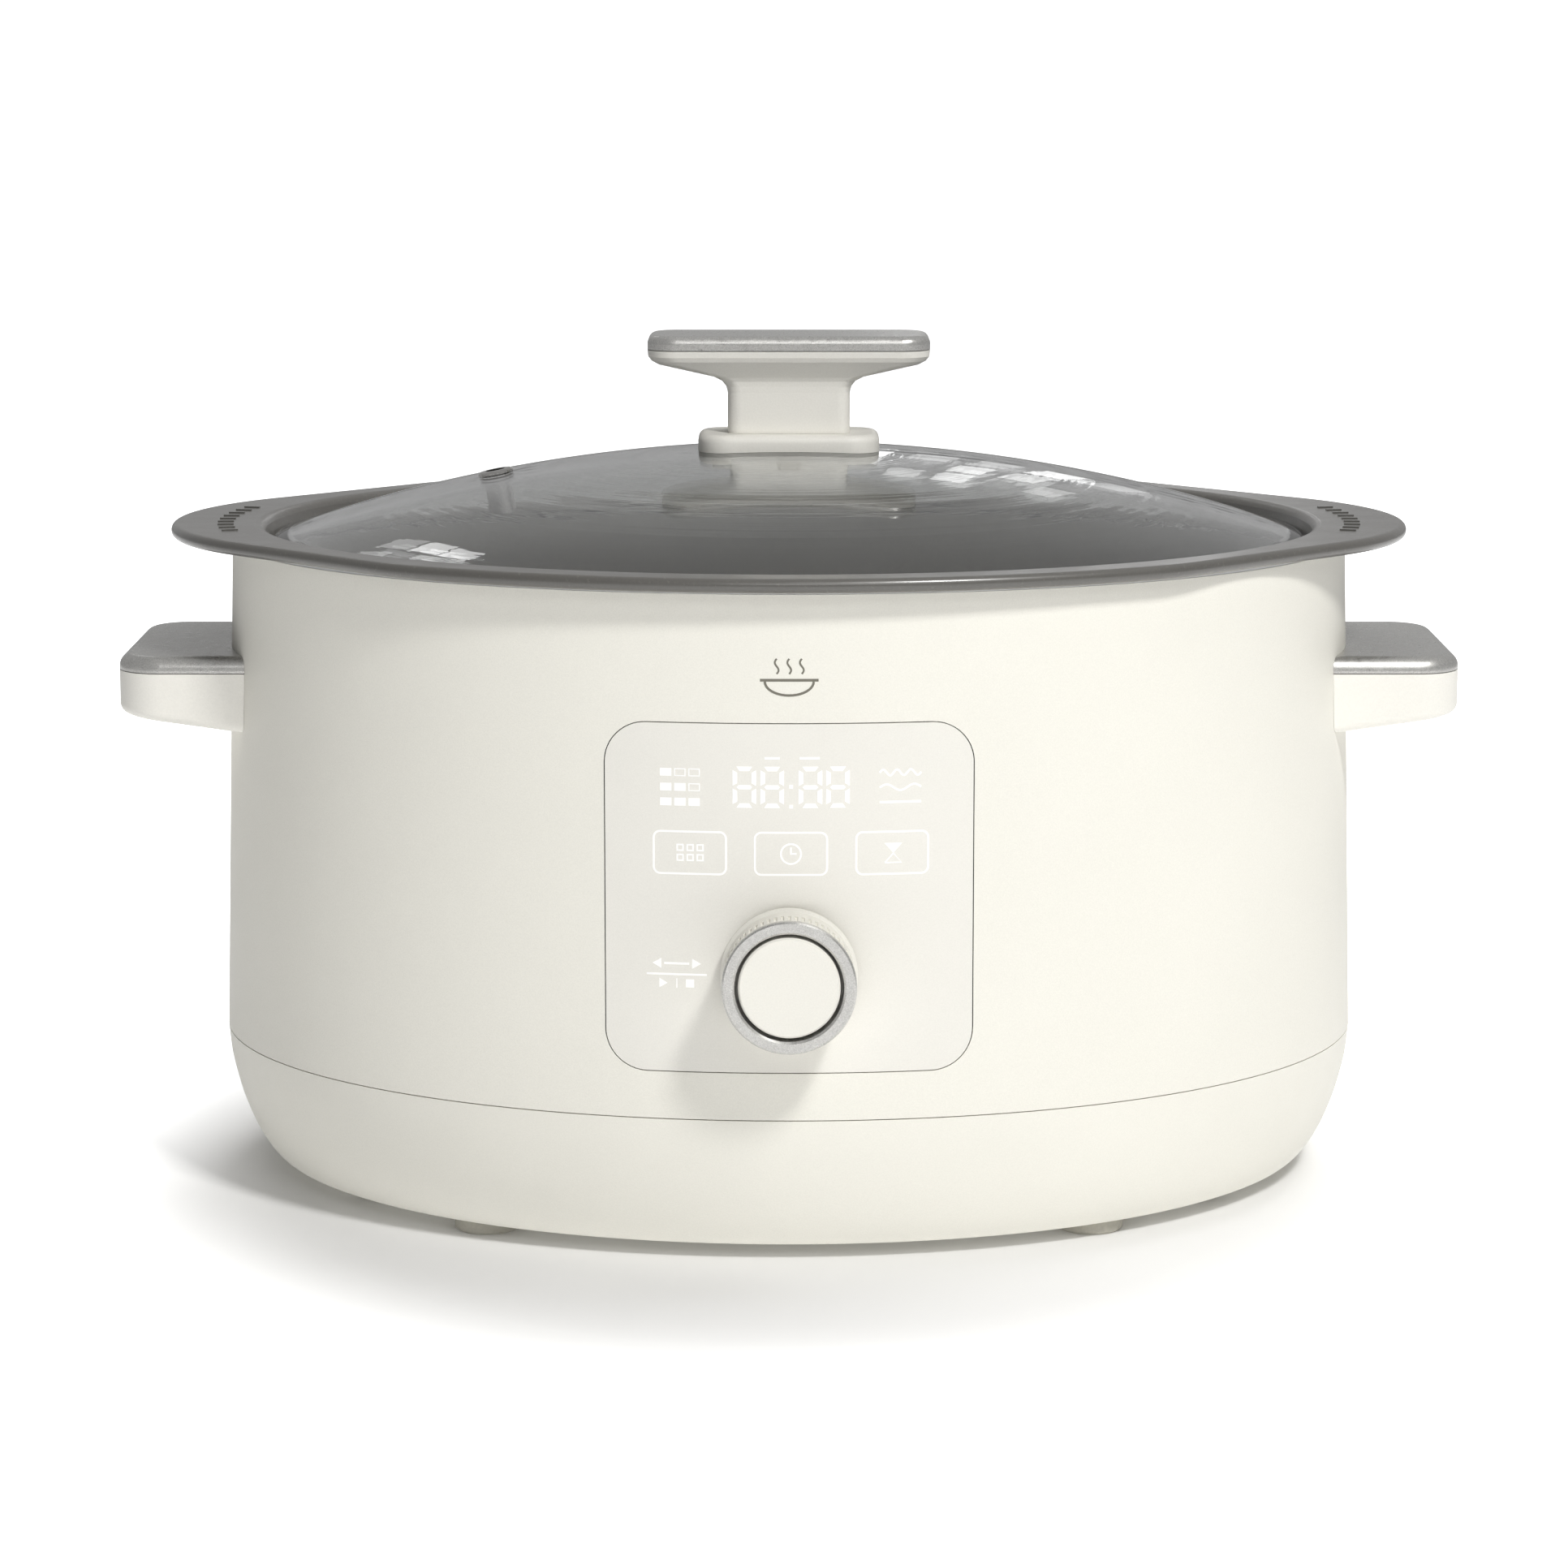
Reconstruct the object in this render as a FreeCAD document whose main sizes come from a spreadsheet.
import FreeCAD, Part
import math
import os
import re
import Sketcher
from FreeCAD import Placement, Rotation, Vector

# An oval countertop slow cooker: painted casing on a moulded base, lift-out crock, glass lid,
# two side handles, and a front panel with a push-and-turn dial.
#
# Everything is drawn about the oval's own upright axis, X to the right, Y to the back and Z up
# from the table. The dial stands out at the front, so each finished sub-part is set back by
# axis_setback, which puts the middle of the whole footprint on the origin.

os.makedirs("parts", exist_ok=True)
doc = FreeCAD.newDocument("slow_cooker")

# ---------------------------------------------------------------- driving sizes, in millimetres

SIZES = {
    # casing and base
    "body_half_width": 178.7,
    "body_half_depth": 143.1,
    "seam_height": 45.0,
    "seam_gap": 0.3,
    "casing_top": 198.6,
    "casing_top_half_width": 174.4,
    "casing_top_half_depth": 139.6,
    "casing_wall": 1.2,
    "base_underside": 4.2,
    "base_wall": 2.4,
    "base_inset_side": 16.5,
    "base_inset_front": 13.6,
    "lip_height": 7.0,
    "post_x": 128.0,
    "post_y": 62.0,
    "fit_gap": 0.05,
    # feet
    "foot_x": 91.0,
    "foot_y": 95.0,
    "foot_radius": 10.0,
    "foot_recess_radius": 4.4,
    # control panel
    "panel_width": 106.4,
    "panel_height": 102.0,
    "panel_middle": 110.3,
    "panel_corner": 12.0,
    "panel_gap": 0.3,
    "frame_border": 8.0,
    "frame_thickness": 2.0,
    # dial, measured outwards from the panel's face
    "dial_height": 88.4,
    "panel_face": 142.1,
    "dial_reach": 19.5,
    "dial_radius": 19.35,
    "dial_lip_radius": 19.9,
    "dial_skirt_radius": 19.05,
    "dial_bore_radius": 16.7,
    "ring_bore_radius": 15.7,
    "button_radius": 14.65,
    "hub_radius": 8.0,
    "shaft_radius": 3.0,
    "knurl_radius": 0.5,
    "button_travel": 1.2,
    # crock
    "rim_top": 204.0,
    "rim_thickness": 4.3,
    "rim_half_width": 193.7,
    "rim_half_depth": 147.5,
    "rim_front_radius": 210.0,
    "rim_shoulder_radius": 75.0,
    "rim_end_radius": 85.0,
    "well_half_width": 162.3,
    "well_half_depth": 131.9,
    "well_flare": 2.4,
    "ledge_height": 195.7,
    "step_half_width": 168.0,
    "step_half_depth": 136.5,
    "step_bottom": 192.0,
    "wall_top": 184.0,
    "wall_half_width": 161.5,
    "wall_half_depth": 128.5,
    "wall_draft": 11.0,
    "crock_bottom": 64.0,
    "crock_round": 20.0,
    "cavity_half_width": 155.0,
    "cavity_half_depth": 121.8,
    "cavity_floor": 71.0,
    "cavity_round": 16.0,
    "ridge_height": 0.4,
    # liner, the heated well the crock stands in
    "liner_gap": 1.0,
    "liner_wall": 0.6,
    "liner_bottom": 59.0,
    "flange_thickness": 0.8,
    "band_bottom": 82.0,
    "band_height": 30.0,
    "band_thickness": 2.4,
    # lid
    "lid_half_width": 161.4,
    "lid_half_depth": 131.0,
    "lid_underside": 195.9,
    "lid_edge": 4.1,
    "dome_height": 27.0,
    "glass_thickness": 4.0,
    "vent_x": 92.0,
    "vent_tube_radius": 4.2,
    "vent_flange_radius": 5.5,
    # lid handle
    "knob_half_width": 44.0,
    "knob_half_depth": 16.0,
    "knob_corner": 9.0,
    "knob_top": 262.4,
    "knob_cap_height": 4.4,
    "neck_half_width": 19.05,
    "neck_half_depth": 10.0,
    "neck_corner": 4.0,
    "neck_bottom": 231.8,
    "plinth_half_width": 28.3,
    "plinth_half_depth": 16.0,
    # side handles
    "handle_top": 166.0,
    "handle_cap_height": 5.0,
    "cap_seam": 0.25,
    "handle_half_depth": 42.0,
    "handle_reach": 207.6,
    "handle_corner": 14.0,
    "handle_bottom_inner": 142.6,
    "handle_bottom_outer": 147.4,
    # boards and fasteners
    "board_thickness": 1.6,
    "power_board_height": 18.0,
    "control_board_face": 130.6,
    "shield_height": 50.0,
    "screw_radius": 1.5,
    "gland_height": 28.0,
    "gland_bore_radius": 3.7,
}

sheet = doc.addObject("Spreadsheet::Sheet", "Sizes")
for row, (alias, value) in enumerate(SIZES.items(), start=1):
    sheet.set(f"A{row}", alias)
    sheet.set(f"B{row}", str(value))
    sheet.setAlias(f"B{row}", alias)
last = len(SIZES) + 1
sheet.set(f"A{last}", "axis_setback")
sheet.set(f"B{last}", "=(panel_face + dial_reach - rim_half_depth) / 2")
sheet.setAlias(f"B{last}", "axis_setback")
doc.recompute()

NAMES = set(SIZES) | {"axis_setback"}
nodes = []


# ---------------------------------------------------------------- small helpers

def given(formula):
    """A plain formula over the sheet's names, as a FreeCAD expression."""
    return re.sub(
        r"[a-z][a-z0-9_]*",
        lambda found: "Sizes." + found.group(0) if found.group(0) in NAMES else found.group(0),
        str(formula),
    )


def value_of(formula):
    """The same formula as a number, for first guesses in sketches."""
    probe = doc.getObject("Probe") or doc.addObject("Part::Vertex", "Probe")
    probe.setExpression("X", given(formula))
    probe.recompute()
    return probe.X.Value


def bind(thing, **formulas):
    """Drive properties of an object by formulas."""
    for prop, formula in formulas.items():
        thing.setExpression(prop.replace("__", "."), given(formula))
    return thing


def move(thing, x="0", y="0", z="0", turn=None):
    """Place an object, with an optional (axis, degrees) turn."""
    if turn:
        thing.Placement = Placement(Vector(0, 0, 0), Rotation(turn[0], turn[1]))
    for axis, formula in zip("xyz", (x, y, z)):
        thing.setExpression("Placement.Base." + axis, given(formula))
    return thing


TURNS = {
    "+X": (Vector(0, 1, 0), 90),
    "-X": (Vector(0, 1, 0), -90),
    "+Y": (Vector(1, 0, 0), -90),
    "-Y": (Vector(1, 0, 0), 90),
    "-Z": (Vector(1, 0, 0), 180),
}


def block(name, width, depth, height, x="0", y="0", z="0"):
    """An upright block, centred on x and y, its underside at z."""
    made = doc.addObject("Part::Box", name)
    bind(made, Length=width, Width=depth, Height=height)
    return move(made, f"({x}) - ({width}) / 2", f"({y}) - ({depth}) / 2", z)


def rod(name, radius, length, x="0", y="0", z="0", along="+Z"):
    """A round bar that starts at a point and runs along an axis."""
    made = doc.addObject("Part::Cylinder", name)
    bind(made, Radius=radius, Height=length)
    return move(made, x, y, z, TURNS.get(along))


def fuse(name, *parts):
    made = doc.addObject("Part::MultiFuse", name)
    made.Shapes = list(parts)
    made.Refine = True
    return made


def cut(name, base, *tools):
    made = doc.addObject("Part::Cut", name)
    made.Base = base
    made.Tool = tools[0] if len(tools) == 1 else group(name + "_tools", *tools)
    made.Refine = True
    return made


def group(name, *parts):
    made = doc.addObject("Part::Compound", name)
    made.Links = list(parts)
    return made


def common(name, *parts):
    made = doc.addObject("Part::MultiCommon", name)
    made.Shapes = list(parts)
    return made


def rounded(name, base, radius, choose):
    """Fillet the edges of a Part object that the chooser picks."""
    base.recompute(True)
    size = value_of(radius)
    made = doc.addObject("Part::Fillet", name)
    made.Base = base
    made.Edges = [
        (number, size, size)
        for number, edge in enumerate(base.Shape.Edges, start=1)
        if choose(edge)
    ]
    return made


def mirrored(name, source, normal):
    made = doc.addObject("Part::Mirroring", name)
    made.Source = source
    made.Normal = normal
    return made


def publish(label, thing, x="0", y="0", z="0", turn=None):
    """Name a finished sub-part and set it back with the rest of the cooker."""
    thing.Label = label
    move(thing, x, f"axis_setback + ({y})", z, turn)
    nodes.append((label, thing))
    return thing


# Ovals: every wall of the body is lofted through ellipses that share one upright axis.

def oval(name, half_width, half_depth, z):
    made = doc.addObject("Part::Ellipse", name)
    return bind(made, MajorRadius=half_width, MinorRadius=half_depth, Placement__Base__z=z)


def oval_loft(name, stations, ruled=True):
    """A solid through ovals given as (half width, half depth, height)."""
    made = doc.addObject("Part::Loft", name)
    made.Sections = [
        oval(f"{name}_{number}", *station) for number, station in enumerate(stations)
    ]
    made.Solid = True
    made.Ruled = ruled
    return made


def casing_half(which, height, inset):
    """The casing's half width or half depth at a height, less an inset."""
    return (
        f"body_half_{which} - (body_half_{which} - casing_top_half_{which})"
        f" * (({height}) - seam_height) / (casing_top - seam_height) - ({inset})"
    )


def casing_solid(name, inset, low, high):
    """The space inside the casing's outer face, drawn in by an inset."""
    return oval_loft(name, [
        (casing_half("width", z, inset), casing_half("depth", z, inset), z) for z in (low, high)
    ])


# PartDesign bodies: each sketch lies on its own body's origin planes.

def new_body(name):
    return doc.addObject("PartDesign::Body", name)


def sketch_on(body, name, plane="XY_Plane", offset="0"):
    made = body.newObject("Sketcher::SketchObject", name)
    support = next(f for f in body.Origin.OriginFeatures if f.Role == plane)
    made.AttachmentSupport = (support, [""])
    made.MapMode = "FlatFace"
    made.setExpression("AttachmentOffset.Base.z", given(offset))
    return made


def pin(sketch, kind, *where, formula):
    """A driving dimension bound to the sheet."""
    number = sketch.addConstraint(Sketcher.Constraint(kind, *where, value_of(formula)))
    sketch.setExpression(f"Constraints[{number}]", given(formula))


def polygon(sketch, points):
    """A closed outline whose corners are each held by two formulas."""
    corners = [Vector(value_of(u), value_of(v), 0) for u, v in points]
    for number, corner in enumerate(corners):
        sketch.addGeometry(Part.LineSegment(corner, corners[(number + 1) % len(corners)]))
    for number, (u, v) in enumerate(points):
        sketch.addConstraint(
            Sketcher.Constraint("Coincident", number, 2, (number + 1) % len(points), 1)
        )
        for kind, axis, formula in (("DistanceX", -2, u), ("DistanceY", -1, v)):
            if abs(value_of(formula)) < 1e-9:
                sketch.addConstraint(Sketcher.Constraint("PointOnObject", number, 1, axis))
            else:
                pin(sketch, kind, -1, 1, number, 1, formula=formula)


def rounded_rectangle(sketch, half_width, half_height, corner):
    """A rectangle with round corners, centred on the sketch's origin."""
    w, h, r = value_of(half_width), value_of(half_height), value_of(corner)
    up = Vector(0, 0, 1)
    sides = [
        ((r - w, -h), (w - r, -h)),
        ((w, r - h), (w, h - r)),
        ((w - r, h), (r - w, h)),
        ((-w, h - r), (-w, r - h)),
    ]
    for start, end in sides:
        sketch.addGeometry(Part.LineSegment(Vector(*start, 0), Vector(*end, 0)))
    middles = [(w - r, r - h), (w - r, h - r), (r - w, h - r), (r - w, r - h)]
    for number, middle in enumerate(middles):
        circle = Part.Circle(Vector(*middle, 0), up, r)
        begin = math.radians(90 * number - 90)
        sketch.addGeometry(Part.ArcOfCircle(circle, begin, begin + math.pi / 2))
    for number in range(4):
        arc = 4 + number
        following = (number + 1) % 4
        sketch.addConstraint(Sketcher.Constraint("Tangent", number, 2, arc, 1))
        sketch.addConstraint(Sketcher.Constraint("Tangent", arc, 2, following, 1))
        lie = "Vertical" if number % 2 else "Horizontal"
        sketch.addConstraint(Sketcher.Constraint(lie, number))
    for arc in (5, 6, 7):
        sketch.addConstraint(Sketcher.Constraint("Equal", 4, arc))
    sketch.addConstraint(Sketcher.Constraint("Symmetric", 4, 3, 6, 3, -1, 1))
    pin(sketch, "Radius", 4, formula=corner)
    pin(sketch, "DistanceX", 7, 3, 4, 3, formula=f"2 * (({half_width}) - ({corner}))")
    pin(sketch, "DistanceY", 4, 3, 5, 3, formula=f"2 * (({half_height}) - ({corner}))")


def ring_of(sketch, radius, x="0", y="0"):
    """A circle held by its radius and its middle."""
    middle = Vector(value_of(x), value_of(y), 0)
    number = sketch.addGeometry(Part.Circle(middle, Vector(0, 0, 1), value_of(radius)))
    for kind, axis, formula in (("DistanceX", -2, x), ("DistanceY", -1, y)):
        if abs(value_of(formula)) < 1e-9:
            sketch.addConstraint(Sketcher.Constraint("PointOnObject", number, 3, axis))
        else:
            pin(sketch, kind, -1, 1, number, 3, formula=formula)
    pin(sketch, "Radius", number, formula=radius)


def pad(body, name, profile, length, both_ways=False):
    made = body.newObject("PartDesign::Pad", name)
    made.Profile = profile
    bind(made, Length=length)
    if both_ways:
        made.Midplane = True
    return made


def pocket(body, name, profile, length=None, reverse=False):
    made = body.newObject("PartDesign::Pocket", name)
    made.Profile = profile
    made.Reversed = reverse
    if length is None:
        made.Type = "ThroughAll"
        made.Midplane = True
    else:
        bind(made, Length=length)
    return made


def soften(body, name, feature, radius, choose, kind="Fillet"):
    """Round or bevel the edges of a body's feature that the chooser picks."""
    doc.recompute()
    made = body.newObject("PartDesign::" + kind, name)
    edges = feature.Shape.Edges
    picked = [f"Edge{number}" for number, edge in enumerate(edges, start=1) if choose(edge)]
    made.Base = (feature, picked)
    made.setExpression("Radius" if kind == "Fillet" else "Size", given(radius))
    return made


def turned(name, profile):
    """A body turned about its own Z axis from an outline of (radius, height) corners."""
    body = new_body(name)
    sketch = sketch_on(body, name + "_outline", "XZ_Plane")
    polygon(sketch, profile)
    made = body.newObject("PartDesign::Revolution", name + "_turn")
    made.Profile = sketch
    made.ReferenceAxis = (sketch, ["V_Axis"])
    made.Angle = 360
    return body


def at_height(edge, height):
    box = edge.BoundBox
    return abs(box.ZMin - height) < 1e-3 and abs(box.ZMax - height) < 1e-3


def screw(name, head_radius, head_height, shank_radius, shank_length, x, y, z, along):
    """A pan-head screw: its shank runs along an axis from a point, its head stands behind."""
    outline = [
        ("0", f"-({head_height})"),
        (f"({head_radius}) - 0.6", f"-({head_height})"),
        (head_radius, f"-({head_height}) + 0.6"),
        (head_radius, "0"),
        (shank_radius, "0"),
        (shank_radius, f"({shank_length}) - 0.8"),
        (f"({shank_radius}) - 0.7", shank_length),
        ("0", shank_length),
    ]
    body = turned(name, outline)
    return move(body, x, y, z, TURNS.get(along))


def hex_nut(name, corner_radius, bore_radius, thickness):
    """A six-sided nut standing on its face."""
    body = new_body(name)
    sketch = sketch_on(body, name + "_outline")
    angles = [math.radians(60 * k) for k in range(6)]
    polygon(sketch, [
        (f"({corner_radius}) * {math.cos(a):.6f}", f"({corner_radius}) * {math.sin(a):.6f}")
        for a in angles
    ])
    ring_of(sketch, bore_radius)
    pad(body, name + "_pad", sketch, thickness)
    return body


CORNERS = [(-1, -1), (1, -1), (-1, 1), (1, 1)]

# ---------------------------------------------------------------- casing

casing_skin = casing_solid("casing_skin", "0", "seam_height + seam_gap / 2", "casing_top")
casing_hollow = casing_solid("casing_hollow", "casing_wall", "seam_height - 1", "casing_top + 1")


def panel_window(name, gap, border):
    """A prism with the panel's outline, reaching forward through the casing."""
    body = new_body(name)
    sketch = sketch_on(body, name + "_outline", "XZ_Plane", "100")
    rounded_rectangle(
        sketch,
        f"panel_width / 2 + ({gap}) + ({border})",
        f"panel_height / 2 + ({gap}) + ({border})",
        f"panel_corner + ({gap})",
    )
    pad(body, name + "_pad", sketch, "60")
    return move(body, z="panel_middle")


handle_screw_places = [
    (side, row) for side in (-1, 1) for row in (-1, 1)
]
handle_holes = [
    rod(f"handle_hole_{number}", "screw_radius + 0.15", "70", f"{side} * 130", f"{row} * 22",
        "153.5", "+X" if side > 0 else "-X")
    for number, (side, row) in enumerate(handle_screw_places)
]
outer_casing = cut(
    "casing_cut", casing_skin, casing_hollow, panel_window("casing_window", "panel_gap", "0"),
    *handle_holes,
)
publish("outer_casing", outer_casing)

# ---------------------------------------------------------------- base: a shallow oval bowl


def bowl(name, wall):
    """The bowl's outer face, or its inner face when a wall is given."""
    bend = 1.56
    stations = []
    for share in (0, 0.15, 0.3, 0.45, 0.6, 0.72, 0.83, 0.91, 0.965, 1.0):
        pull = 1 - (1 - share ** bend) ** (1 / bend)
        stations.append((
            f"body_half_width - base_inset_side * {pull:.5f} - ({wall})",
            f"body_half_depth - base_inset_front * {pull:.5f} - ({wall})",
            "seam_height - seam_gap / 2 - (seam_height - seam_gap / 2 - base_underside"
            f" - ({wall})) * {share}",
        ))
    return oval_loft(name, stations, ruled=False)


bowl_skin = bowl("bowl_skin", "0")
bowl_hollow = bowl("bowl_hollow", "base_wall")
bowl_mouth = oval_loft("bowl_mouth", [
    ("body_half_width - base_wall", "body_half_depth - base_wall", "seam_height - seam_gap / 2"),
    ("body_half_width - base_wall", "body_half_depth - base_wall", "seam_height + 1"),
])
lip_ring = cut(
    "lip_ring",
    oval_loft("lip_outer", [
        (casing_half("width", "seam_height + lip_height", "casing_wall + 0.1"),
         casing_half("depth", "seam_height + lip_height", "casing_wall + 0.1"), z)
        for z in ("seam_height - 8", "seam_height + lip_height")
    ]),
    oval_loft("lip_inner", [
        ("body_half_width - base_wall - 1.4", "body_half_depth - base_wall - 1.4", z)
        for z in ("seam_height - 9", "seam_height + lip_height + 1")
    ]),
)

# Screw posts stand on the bowl's floor and carry the mounting ring.
post_places = [(f"{sx} * post_x", f"{sy} * post_y") for sx, sy in CORNERS]
post_envelope = oval_loft("post_envelope", [
    ("body_half_width - base_inset_side", "body_half_depth - base_inset_front",
     "base_underside + 1"),
    ("body_half_width - 5", "body_half_depth - 4.5", "seam_height * 0.4"),
    ("body_half_width - 4", "body_half_depth - 4", "seam_height + lip_height"),
])
posts = [
    rod(f"post_{n}", "6", "seam_height + lip_height - 5", x, y, "5")
    for n, (x, y) in enumerate(post_places)
]
board_post_places = [(f"-30 + {sx} * 52", f"20 + {sy} * 38") for sx, sy in CORNERS]
board_posts = [
    rod(f"board_post_{n}", "3.5", "power_board_height - base_underside - 1", x, y,
        "base_underside + 1")
    for n, (x, y) in enumerate(board_post_places)
]
foot_places = [(f"{sx} * foot_x", f"{sy} * foot_y") for sx, sy in CORNERS]
foot_bosses = [
    rod(f"foot_boss_{n}", "6", "8", x, y, "base_underside + 1")
    for n, (x, y) in enumerate(foot_places)
]
gland_boss = rod(
    "gland_boss", "11", "10", "0", "body_half_depth - 12.9", "gland_height", "+Y"
)

bowl_shell = cut("bowl_shell", bowl_skin, fuse("bowl_space", bowl_hollow, bowl_mouth))
bowl_whole = fuse(
    "bowl_whole", bowl_shell, lip_ring,
    common("posts_trimmed", group("posts", *posts), post_envelope),
    *board_posts, *foot_bosses, gland_boss,
)

vents = [
    block(f"vent_{n}", "4", "44", "6", f"{side} * (24 + {step} * 9)", "-62",
          "base_underside - 1")
    for n, (side, step) in enumerate((s, k) for s in (-1, 1) for k in range(5))
]
post_bores = [
    rod(f"post_bore_{n}", "2", "70", x, y, "-1") for n, (x, y) in enumerate(post_places)
]
post_wells = [
    rod(f"post_well_{n}", "4.2", "31", x, y, "-1") for n, (x, y) in enumerate(post_places)
]
board_bores = [
    rod(f"board_bore_{n}", "1.3", "9", x, y, "power_board_height - 8")
    for n, (x, y) in enumerate(board_post_places)
]
foot_bores = [
    rod(f"foot_bore_{n}", "screw_radius + 0.05", "8", x, y, "base_underside - 1")
    for n, (x, y) in enumerate(foot_places)
]
gland_seat = rod(
    "gland_seat", "9", "20", "0", "body_half_depth - 2.9", "gland_height", "+Y"
)
gland_hole = rod("gland_hole", "6.1", "60", "0", "100", "gland_height", "+Y")
tie_places = [("-110", "0"), ("110", "0")]
tie_bores = [
    rod(f"tie_bore_{n}", "2.3", "10", x, y, "base_underside - 2")
    for n, (x, y) in enumerate(tie_places)
]
base_housing = cut(
    "base_cut", bowl_whole, *vents, *post_bores, *post_wells, *board_bores, *foot_bores,
    *tie_bores, gland_seat, gland_hole,
)
publish("base_housing", base_housing)

# The mounting ring: an oval steel angle that ties the casing to the base.
ring_flat = cut(
    "ring_flat",
    casing_solid("ring_flat_outer", "casing_wall + fit_gap", "seam_height + lip_height + 0.1",
                 "seam_height + lip_height + 1.3"),
    oval_loft("ring_flat_inner", [
        ("body_half_width - 36", "body_half_depth - 36", f"seam_height + {z}") for z in (0, 20)
    ]),
)
ring_wall = cut(
    "ring_wall",
    casing_solid("ring_wall_outer", "casing_wall + fit_gap", "seam_height + lip_height + 0.1",
                 "seam_height + lip_height + 11"),
    casing_solid("ring_wall_inner", "casing_wall + 1.25", "seam_height + lip_height - 1",
                 "seam_height + lip_height + 12"),
)
ring_bores = [
    rod(f"ring_bore_{n}", "2", "20", x, y, "seam_height + 1")
    for n, (x, y) in enumerate(post_places)
]
ring_notch = block("ring_notch", "panel_width + 20", "40", "30", "0",
                   "-body_half_depth", "seam_height + lip_height + 1.3")
publish("mounting_ring", cut(
    "ring_cut", fuse("ring_whole", ring_flat, ring_wall), *ring_bores, ring_notch
))

base_screws = [
    screw(f"base_screw_{n}", "3.6", "2.4", "1.9", "27", x, y, "29.95", "+Z")
    for n, (x, y) in enumerate(post_places)
]
publish("base_screws", group("base_screw_set", *base_screws))

# ---------------------------------------------------------------- feet

FOOT_NAMES = ["foot_front_left", "foot_front_right", "foot_back_left", "foot_back_right"]
for label, (x, y) in zip(FOOT_NAMES, foot_places):
    foot = turned(label, [
        ("foot_recess_radius", "0"),
        ("foot_radius - 1", "0"),
        ("foot_radius - 0.2", "0.8"),
        ("foot_radius", "base_underside - fit_gap"),
        ("screw_radius + 0.1", "base_underside - fit_gap"),
        ("screw_radius + 0.1", "2.2"),
        ("foot_recess_radius", "2.2"),
    ])
    publish(label, foot, x, y)
foot_screws = [
    screw(f"foot_screw_{n}", "3", "1.6", "screw_radius", "8", x, y, "2.15", "+Z")
    for n, (x, y) in enumerate(foot_places)
]
publish("foot_screws", group("foot_screw_set", *foot_screws))

# ---------------------------------------------------------------- cord inlet: gland and its nut

gland = turned("gland", [
    ("gland_bore_radius", "-13"),
    ("6", "-13"),
    ("6", "0"),
    ("8.4", "0"),
    ("8.4", "1.6"),
    ("7.4", "2.6"),
    ("gland_bore_radius + 0.6", "2.6"),
    ("gland_bore_radius", "2"),
])
publish("cord_gland", gland, "0", "body_half_depth - 2.85", "gland_height", TURNS["+Y"])

nut_body = hex_nut("gland_nut_body", "9.2", "6.05", "2.6")
publish("gland_nut", nut_body, "0", "body_half_depth - 12.95", "gland_height", TURNS["-Y"])

# ---------------------------------------------------------------- control panel and its frame

panel_skin = casing_solid("panel_skin", "0", "panel_middle - 60", "panel_middle + 60")
panel_back = casing_solid("panel_back", "casing_wall", "panel_middle - 61", "panel_middle + 61")
panel_blank = common(
    "panel_blank", cut("panel_shell", panel_skin, panel_back),
    panel_window("panel_prism", "0", "0"),
)
bushing_hole = rod("bushing_hole", "3.75", "80", "0", "-90", "dial_height", "-Y")
publish("control_panel", cut("panel_cut", panel_blank, bushing_hole))

frame_skin = casing_solid(
    "frame_skin", "casing_wall + fit_gap", "panel_middle - 75", "panel_middle + 75"
)
frame_back = casing_solid(
    "frame_back", "casing_wall + fit_gap + frame_thickness", "panel_middle - 76",
    "panel_middle + 76",
)
frame_blank = common(
    "frame_blank", cut("frame_shell", frame_skin, frame_back),
    move(panel_window("frame_prism", "0", "frame_border"), z="panel_middle + 2.5"),
)
frame_post_places = [(f"{sx} * 44", f"109 + {sz} * 36") for sx, sz in CORNERS]
frame_posts = common(
    "frame_posts_trimmed", frame_skin,
    group("frame_posts", *[
        rod(f"frame_post_{n}", "3.2", "20", x, "-control_board_face - fit_gap", z, "-Y")
        for n, (x, z) in enumerate(frame_post_places)
    ]),
)
key_places = [(f"{column} * 29.3", "123.8") for column in (-1, 0, 1)]
frame_cuts = [
    block("display_window", "62", "80", "21", "0", "-120", "132.5"),
    rod("frame_bushing_hole", "5", "80", "0", "-90", "dial_height", "-Y"),
    *[rod(f"frame_key_hole_{n}", "4.5", "80", x, "-90", z, "-Y")
      for n, (x, z) in enumerate(key_places)],
    *[rod(f"frame_post_bore_{n}", "1.1", "5", x, "-control_board_face + 1", z, "-Y")
      for n, (x, z) in enumerate(frame_post_places)],
]
publish("panel_frame", cut(
    "frame_cut", fuse("frame_whole", frame_blank, frame_posts), *frame_cuts
))

# Control board, upright behind the panel; its front face is at control_board_face.
board_body = new_body("control_board_body")
board_sketch = sketch_on(board_body, "control_board_outline", "XZ_Plane")
rounded_rectangle(board_sketch, "49", "41", "3")
for x, z in frame_post_places:
    ring_of(board_sketch, "1.3", x, f"{z} - 109")
pad(board_body, "control_board_pad", board_sketch, "board_thickness")
publish("control_board", board_body, "0", "-control_board_face + board_thickness", "109")
board_screws = [
    screw(f"board_screw_{n}", "2.3", "1.3", "1.05", "5.2", x,
          "-control_board_face + board_thickness + 0.05", z, "-Y")
    for n, (x, z) in enumerate(frame_post_places)
]
publish("control_board_screws", group("board_screw_set", *board_screws))

display_case = block("display_case", "58", "5.9", "17", "0",
                     "-control_board_face - 0.05 - 5.9 / 2", "134.5")
publish("led_display", display_case, "-58 / 2", "-control_board_face - 0.05 - 5.9", "134.5")

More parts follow.
